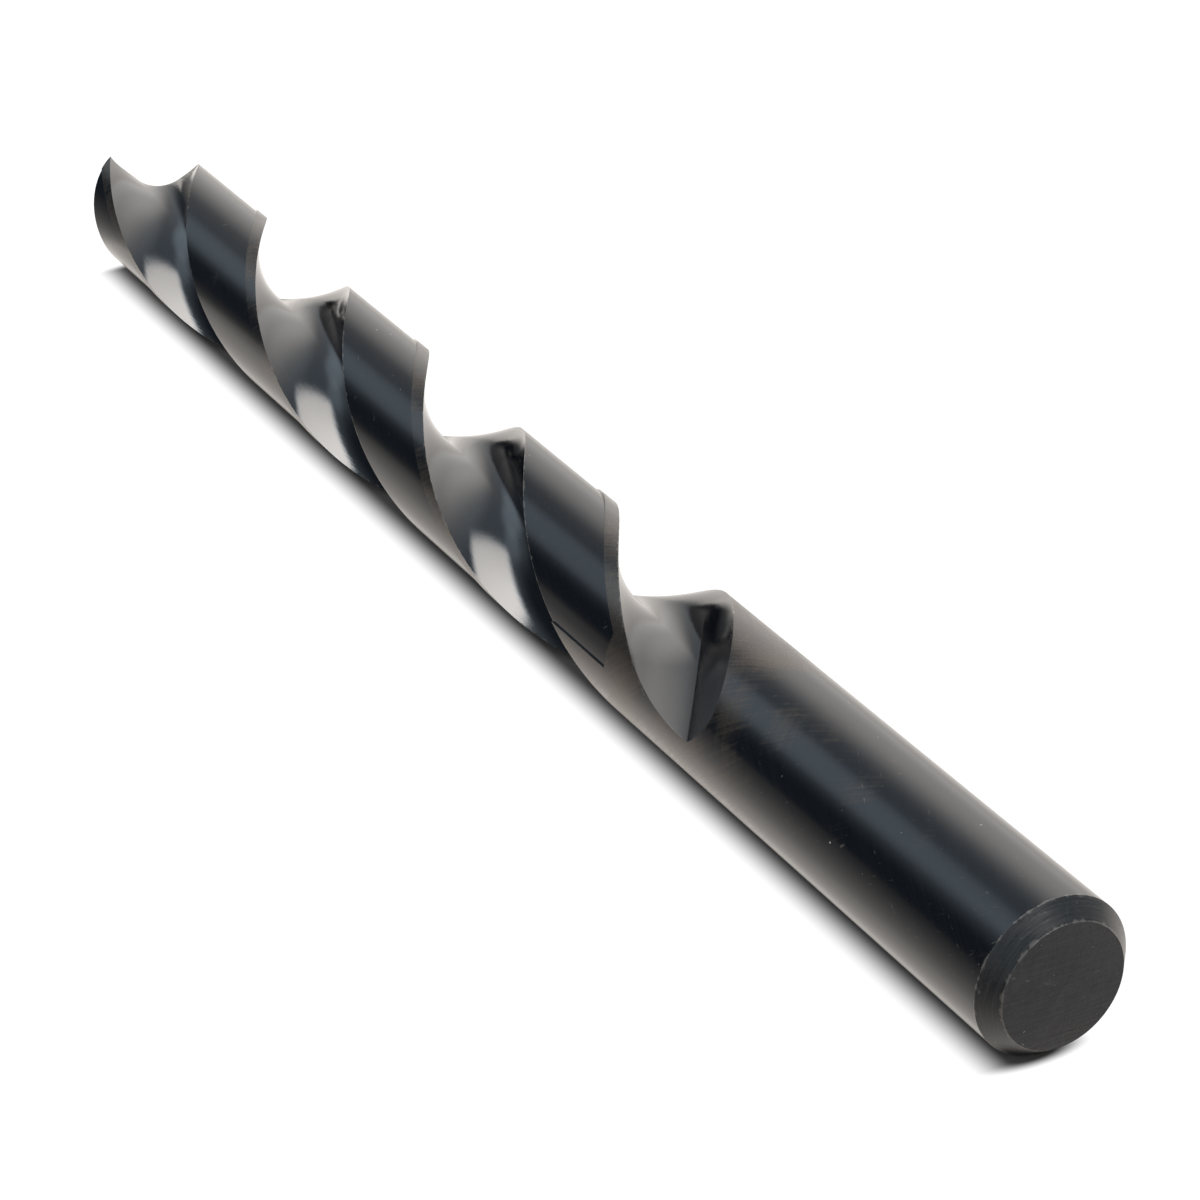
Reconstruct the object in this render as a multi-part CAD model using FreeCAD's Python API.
"""Twist drill with a straight shank: one solid bar with two helical flutes, relieved lands and a ground point.

The drill lies along X. The origin is on its axis at the shank's end face, the point looks along +X and Z is up.
Lengths are in millimetres and angles in degrees. An angle about the axis is counted from +Y towards +Z.
"""
import FreeCAD, Part
import math
import os

# The bar, whose diameter shrinks a little from the point to the shank
DIAMETER = 12.8
OVERALL_LENGTH = 163.8
BACK_TAPER = 0.0005
CHAMFER_LENGTH = 1.56
CHAMFER_DEPTH = 1.28

# The flutes
FLUTE_COUNT = 2
HELIX_ANGLE = 30.3
SHANK_PHASE = 120.57
FULL_FLUTE_LENGTH = 116.06
WEB_AT_POINT = 2.3
WEB_TAPER = 0.004

# The grinding wheel that makes them: how it stands, and the arcs of its profile
WHEEL_RADIUS = 124.6
WHEEL_SETTING = 35.35
WHEEL_SIDE_ANGLE = 66.9
RIM_OFFSET = 1.15
RAKE_ARC = 5.37
RAKE_ARC_END = 66.7
RIM_ROUND = 0.2
RIM_ROUND_END = 40.5
HEEL_ARC = 15.55
HEEL_ARC_END = 59.75

# The relief ground on the lands behind their margins
MARGIN_WIDTH = 1.385
RELIEF_DEPTH = 0.15
RELIEF_LENGTH = 109.8
RELIEF_ANGLE = 93.0
RELIEF_END_ANGLE = 27.3

# The point
POINT_ANGLE = 118.0
LIP_RELIEF = 5.0
FLANK_RADIUS = 4.5
FLANK_APEX = 15.0

# How finely the curved surfaces are laid out
TURN_STEP = 30.0
RUNOUT_STEPS = 4
RAKE_POINTS = 7
RIM_POINTS = 5
HEEL_POINTS = 3
FLANK_POINTS = 11
CUT_MARGIN = 1.5

RADIUS = DIAMETER / 2
LEAD = math.pi * DIAMETER / math.tan(math.radians(HELIX_ANGLE))
HALF_POINT = math.radians(POINT_ANGLE / 2)
FLUTE_SPACING = 360.0 / FLUTE_COUNT
WHEEL_STATION = OVERALL_LENGTH - FULL_FLUTE_LENGTH
RELIEF_START = OVERALL_LENGTH - RELIEF_LENGTH
MARGIN_ANGLE = math.degrees(MARGIN_WIDTH / RADIUS)
CUT_END = OVERALL_LENGTH + CUT_MARGIN
AXIS = FreeCAD.Vector(1, 0, 0)
ORIGIN = FreeCAD.Vector(0, 0, 0)


def polar(radius, degrees):
    """A point of the cross-section, as a pair (across, up)."""
    turn = math.radians(degrees)
    return (radius * math.cos(turn), radius * math.sin(turn))


def placed(point, x, degrees):
    """The cross-section's point, turned by an angle about the axis and set at x."""
    turn = math.radians(degrees)
    across = point[0] * math.cos(turn) - point[1] * math.sin(turn)
    up = point[0] * math.sin(turn) + point[1] * math.cos(turn)
    return FreeCAD.Vector(x, across, up)


def lead_edge_angle(x):
    """Where the first land's leading edge is, at x along the drill."""
    return SHANK_PHASE + 360.0 * x / LEAD


def half_web(x):
    """Half the thickness of the web between the flutes, which grows towards the shank."""
    return (WEB_AT_POINT + WEB_TAPER * (OVERALL_LENGTH - x)) / 2


def bar_radius(x):
    """The radius of the fluted bar at x."""
    return RADIUS - BACK_TAPER / 2 * (OVERALL_LENGTH - x)


def profile_arc(start, radius, first, last, count):
    """Points along an arc of the wheel's profile, with their outward normals.

    The angles are those of the normal, from straight out towards the leading edge's side. A point and its
    normal are pairs: along the wheel's axis, and out from its rim.
    """
    normal = (math.sin(math.radians(first)), math.cos(math.radians(first)))
    centre = (start[0] - radius * normal[0], start[1] - radius * normal[1])
    entries = []
    for i in range(count + 1):
        angle = math.radians(first + (last - first) * i / count)
        normal = (math.sin(angle), math.cos(angle))
        entries.append(((centre[0] + radius * normal[0], centre[1] + radius * normal[1]), normal))
    return entries


def wheel_profile():
    """The wheel's profile as three arcs: the side that grinds the rake, the rim, the side that grinds the heel."""
    rake = profile_arc((RIM_OFFSET, 0.0), RAKE_ARC, 0, RAKE_ARC_END, RAKE_POINTS)
    rim = profile_arc((RIM_OFFSET, 0.0), RIM_ROUND, 0, -RIM_ROUND_END, RIM_POINTS)
    heel = profile_arc(rim[-1][0], HEEL_ARC, -RIM_ROUND_END, -HEEL_ARC_END, HEEL_POINTS)
    return rake[::-1], rim, heel


def wheel_frame():
    """The wheel's centre, its axis, the direction to its lowest point and the one in which it rises.

    They are seen from the flute's own section at the wheel's station, where the leading edge is at angle 0.
    """
    side = placed(polar(1, WHEEL_SIDE_ANGLE), 0, 0)
    setting = math.radians(WHEEL_SETTING)
    axis = side.cross(AXIS * math.cos(setting) + AXIS.cross(side) * math.sin(setting))
    return side * (WHEEL_RADIUS + half_web(WHEEL_STATION)), axis, side * -1, side.cross(axis)


def on_wheel(pair, angle):
    """A pair of the wheel's profile, carried to an angle round its axis."""
    centre, axis, down, back = wheel_frame()
    out = down * math.cos(angle) + back * math.sin(angle)
    return centre + axis * pair[0] + out * (WHEEL_RADIUS + pair[1])


def contact_angle(point, normal):
    """The angle round the wheel at which a point of its profile touches the finished flute.

    There the screw motion of the drill runs within the wheel's surface. Across the normal it is a sum of
    a constant, a cosine and a sine of that angle, which three values give.
    """
    centre, axis, down, back = wheel_frame()
    across = []
    for angle in (0.0, math.pi / 2, math.pi):
        out = down * math.cos(angle) + back * math.sin(angle)
        screw = AXIS * (LEAD / (2 * math.pi)) + AXIS.cross(on_wheel(point, angle))
        across.append((axis * normal[0] + out * normal[1]).dot(screw))
    constant = (across[0] + across[2]) / 2
    cosine = (across[0] - across[2]) / 2
    sine = across[1] - constant
    middle = math.atan2(sine, cosine)
    swing = math.acos(-constant / math.hypot(cosine, sine))
    return min([(middle + way * swing + math.pi) % (2 * math.pi) - math.pi for way in (1, -1)], key=abs)


def profile_contacts():
    """Each arc of the wheel's profile with the angle at which each point touches the flute.

    The two sides are drawn out straight, to where they are clear of the bar.
    """
    arcs = []
    for entries, end, way in zip(wheel_profile(), (0, None, -1), (1, 0, -1)):
        contacts = [(point, contact_angle(point, normal)) for point, normal in entries]
        if way:
            (point, normal), angle = entries[end], contacts[end][1]
            drawn = [((point[0] + way * normal[1] * run, point[1] - way * normal[0] * run), angle)
                     for run in (CUT_MARGIN, 2 * CUT_MARGIN)]
            contacts = drawn[::-1] + contacts if way == 1 else contacts + drawn
        arcs.append(contacts)
    return arcs


def lift_end():
    """The angle round the wheel, in radians, from which its rim is clear of the bar."""
    angle = 0.0
    while math.hypot(*on_wheel((RIM_OFFSET, 0.0), angle)[1:]) < RADIUS + CUT_MARGIN:
        angle += 0.001
    return angle


def flute_rows(contacts):
    """Rows of points on one flute: along the helix to beyond the point, and round the wheel out of the bar.

    Both lists start with the same row, where the wheel touched the flute when it stopped.
    """
    side = placed(polar(1, WHEEL_SIDE_ANGLE), 0, 0)
    count = math.ceil(FULL_FLUTE_LENGTH / (LEAD * TURN_STEP / 360))
    home = lead_edge_angle(WHEEL_STATION)
    helix = []
    for i in range(count + 1):
        row = []
        for pair, angle in contacts:
            place = on_wheel(pair, angle)
            run = (CUT_END - WHEEL_STATION - place.x) * i / count
            place -= side * (WEB_TAPER / 2 * run)
            row.append(placed((place.y, place.z), WHEEL_STATION + place.x + run, home + 360.0 * run / LEAD))
        helix.append(row)
    top = lift_end()
    wheel = []
    for i in range(RUNOUT_STEPS + 1):
        row = []
        for pair, angle in contacts:
            place = on_wheel(pair, angle + (top - angle) * i / RUNOUT_STEPS)
            row.append(placed((place.y, place.z), WHEEL_STATION + place.x, home))
        wheel.append(row)
    return helix, wheel


def closed_solid(faces):
    """A solid from faces that meet along their edges."""
    shell = Part.makeShell(faces)
    shell.sewShape()
    solid = Part.makeSolid(shell)
    if solid.Volume < 0:
        solid.reverse()
    return solid


def curve_through(points, parameters):
    """A smooth curve that passes each point at its own parameter."""
    curve = Part.BSplineCurve()
    curve.interpolate(Points=points, Parameters=parameters)
    return curve


def spacing(row):
    """Parameters for a row of points, which grow with the distance between them."""
    across = [0.0]
    for before, after in zip(row, row[1:]):
        across.append(across[-1] + before.distanceToPoint(after))
    return across


def surface_through(rows, across, along):
    """A smooth surface through rows of points, with parameters for the points in a row and for the rows."""
    sections = [curve_through(row, across) for row in rows]
    columns = [curve_through(list(column), along) for column in zip(*[c.getPoles() for c in sections])]
    poles = [list(row) for row in zip(*[c.getPoles() for c in columns])]
    surface = Part.BSplineSurface()
    surface.buildFromPolesMultsKnots(poles, columns[0].getMultiplicities(), sections[0].getMultiplicities(),
                                     columns[0].getKnots(), sections[0].getKnots(), False, False,
                                     columns[0].Degree, sections[0].Degree)
    return surface


def ruled_between(first, second):
    """A surface of straight lines between two curves that share their parameters."""
    poles = [list(pair) for pair in zip(first.getPoles(), second.getPoles())]
    surface = Part.BSplineSurface()
    surface.buildFromPolesMultsKnots(poles, first.getMultiplicities(), (2, 2), first.getKnots(), (0.0, 1.0),
                                     False, False, first.Degree, 1)
    return surface.toShape()


def flute_cutter():
    """What the wheel takes out for one flute, from its run-out to beyond the point."""
    crest = flute_rows([((RIM_OFFSET, -2 * RADIUS), 0.0)])
    arcs = [flute_rows(contacts) for contacts in profile_contacts()]
    faces = []
    for part in (0, 1):
        along = [float(i) for i in range(len(crest[part]))]
        walls = []
        for rows in arcs:
            walls.append(surface_through(rows[part], spacing(rows[0][0]), along))
        ridge = curve_through([row[0] for row in crest[part]], along)
        faces += [wall.toShape() for wall in walls]
        faces.append(ruled_between(walls[0].vIso(0.0), ridge))
        faces.append(ruled_between(walls[-1].vIso(walls[-1].bounds()[3]), ridge))
        top = crest[part][-1][0]
        rim = [Part.makeLine(top, arcs[0][part][-1][0])]
        rim += [wall.uIso(along[-1]).toShape() for wall in walls]
        rim.append(Part.makeLine(arcs[-1][part][-1][-1], top))
        faces.append(Part.Face(Part.Wire(rim)))
    return closed_solid(faces)


def turned(shape, degrees):
    """A copy of the shape, turned about the drill's axis."""
    copy = shape.copy()
    copy.rotate(ORIGIN, AXIS, degrees)
    return copy


def round_halves(depth, start, end):
    """The fluted bar's round surface, or one that lies under it by a depth, as two halves."""
    half = Part.makeCone(bar_radius(start) - depth, bar_radius(end) - depth, end - start,
                         FreeCAD.Vector(start, 0, 0), AXIS, 180)
    return [half, turned(half, 180)]


def relief_cutter():
    """What is ground off one land behind its margin: a helical band without the core that stays."""
    inner = RADIUS / 2
    width = RELIEF_ANGLE
    count = math.ceil((CUT_END - RELIEF_START) / (LEAD * TURN_STEP / 360))
    stations = [RELIEF_START + (CUT_END - RELIEF_START) * i / count for i in range(count + 1)]
    corners = (polar(inner, -width), polar(2 * RADIUS, -width), polar(2 * RADIUS, 0), polar(inner, 0))
    rows = [[placed(corner, x, lead_edge_angle(x) - MARGIN_ANGLE) for corner in corners] for x in stations]
    columns = [curve_through([row[i] for row in rows], stations) for i in range(4)]
    faces = [ruled_between(columns[i - 1], columns[i]) for i in range(4)]
    faces += [Part.Face(Part.makePolygon(row + [row[0]])) for row in (rows[0], rows[-1])]
    band = closed_solid(faces).cut(round_halves(RELIEF_DEPTH, RELIEF_START - CUT_MARGIN, CUT_END + CUT_MARGIN))

    # The grinding stops along a straight edge, so a corner of the land keeps the full diameter.
    edge_angle = lead_edge_angle(RELIEF_START) - MARGIN_ANGLE - RELIEF_END_ANGLE
    behind = width - RELIEF_END_ANGLE
    length = behind * LEAD / 360 + CUT_MARGIN
    spread = [polar(0, 0), polar(3 * RADIUS, edge_angle), polar(3 * RADIUS, edge_angle - behind - CUT_MARGIN)]
    corners = [placed(p, RELIEF_START - CUT_MARGIN, 0) for p in spread]
    kept = Part.Face(Part.makePolygon(corners + [corners[0]])).extrude(AXIS * (length + CUT_MARGIN))
    return band.cut(kept)


def flank_cutter():
    """What the point's grinding takes off above one flank.

    The lip is straight. Behind it the flank falls away along a curve that is tighter near the axis,
    so the two flanks meet in a slanting chisel edge.
    """
    web = WEB_AT_POINT / 2
    slope = math.tan(math.radians(LIP_RELIEF))
    top = OVERALL_LENGTH + slope * web + web ** 2 / (2 * FLANK_RADIUS)
    corner_x = top - math.sqrt(RADIUS ** 2 - web ** 2) / math.tan(HALF_POINT)
    lip_turn = lead_edge_angle(corner_x) - math.degrees(math.asin(web / RADIUS))
    reach = RADIUS + CUT_MARGIN
    rows = []
    places = [reach * (2 * i / (FLANK_POINTS - 1) - 1) for i in range(FLANK_POINTS)]
    for out in places:
        bend = 2 * FLANK_RADIUS * (1 + out / FLANK_APEX)
        row = []
        for j in range(FLANK_POINTS):
            behind = (reach + web) * (2 * j / (FLANK_POINTS - 1) - 1)
            x = top - out / math.tan(HALF_POINT) - slope * behind - behind ** 2 / bend
            row.append(placed((out, web - behind), x, lip_turn))
        rows.append(row)
    flank = surface_through(rows, spacing(rows[FLANK_POINTS // 2]), places)
    return flank.toShape().extrude(AXIS * OVERALL_LENGTH)


def plain_length():
    """How much of the bar the wheel stays clear of."""
    return min(point.x for contacts in profile_contacts() for point in flute_rows(contacts)[1][-1])


def bar():
    """The round bar: a chamfered plain shank, and the tapered length to be fluted as two halves."""
    plain = plain_length()
    radius = bar_radius(plain)
    profile = [(0, 0), (0, radius - CHAMFER_DEPTH), (CHAMFER_LENGTH, radius), (plain, radius), (plain, 0), (0, 0)]
    outline = Part.makePolygon([FreeCAD.Vector(x, r, 0) for x, r in profile])
    shank = Part.Face(outline).revolve(ORIGIN, AXIS, 360)
    return shank.fuse(round_halves(0, plain, OVERALL_LENGTH))


def twist_drill():
    """The drill, cut from its bar as its maker does: flutes, then relief, then the point."""
    drill = bar()
    for cutter in (flute_cutter(), relief_cutter(), flank_cutter()):
        drill = drill.cut([turned(cutter, FLUTE_SPACING * i) for i in range(FLUTE_COUNT)])
    return drill.Solids[0]


os.makedirs("parts", exist_ok=True)
body = twist_drill()
body.exportStep("parts/twist_drill.step")
box = body.BoundBox
print("twist_drill: valid", body.isValid(), "volume", round(body.Volume, 1), "faces", len(body.Faces))
print("box X %.2f..%.2f Y %.2f..%.2f Z %.2f..%.2f" % (box.XMin, box.XMax, box.YMin, box.YMax, box.ZMin, box.ZMax))
print("lead %.2f, plain shank to x = %.3f, radius %.4f" % (LEAD, plain_length(), bar_radius(plain_length())))
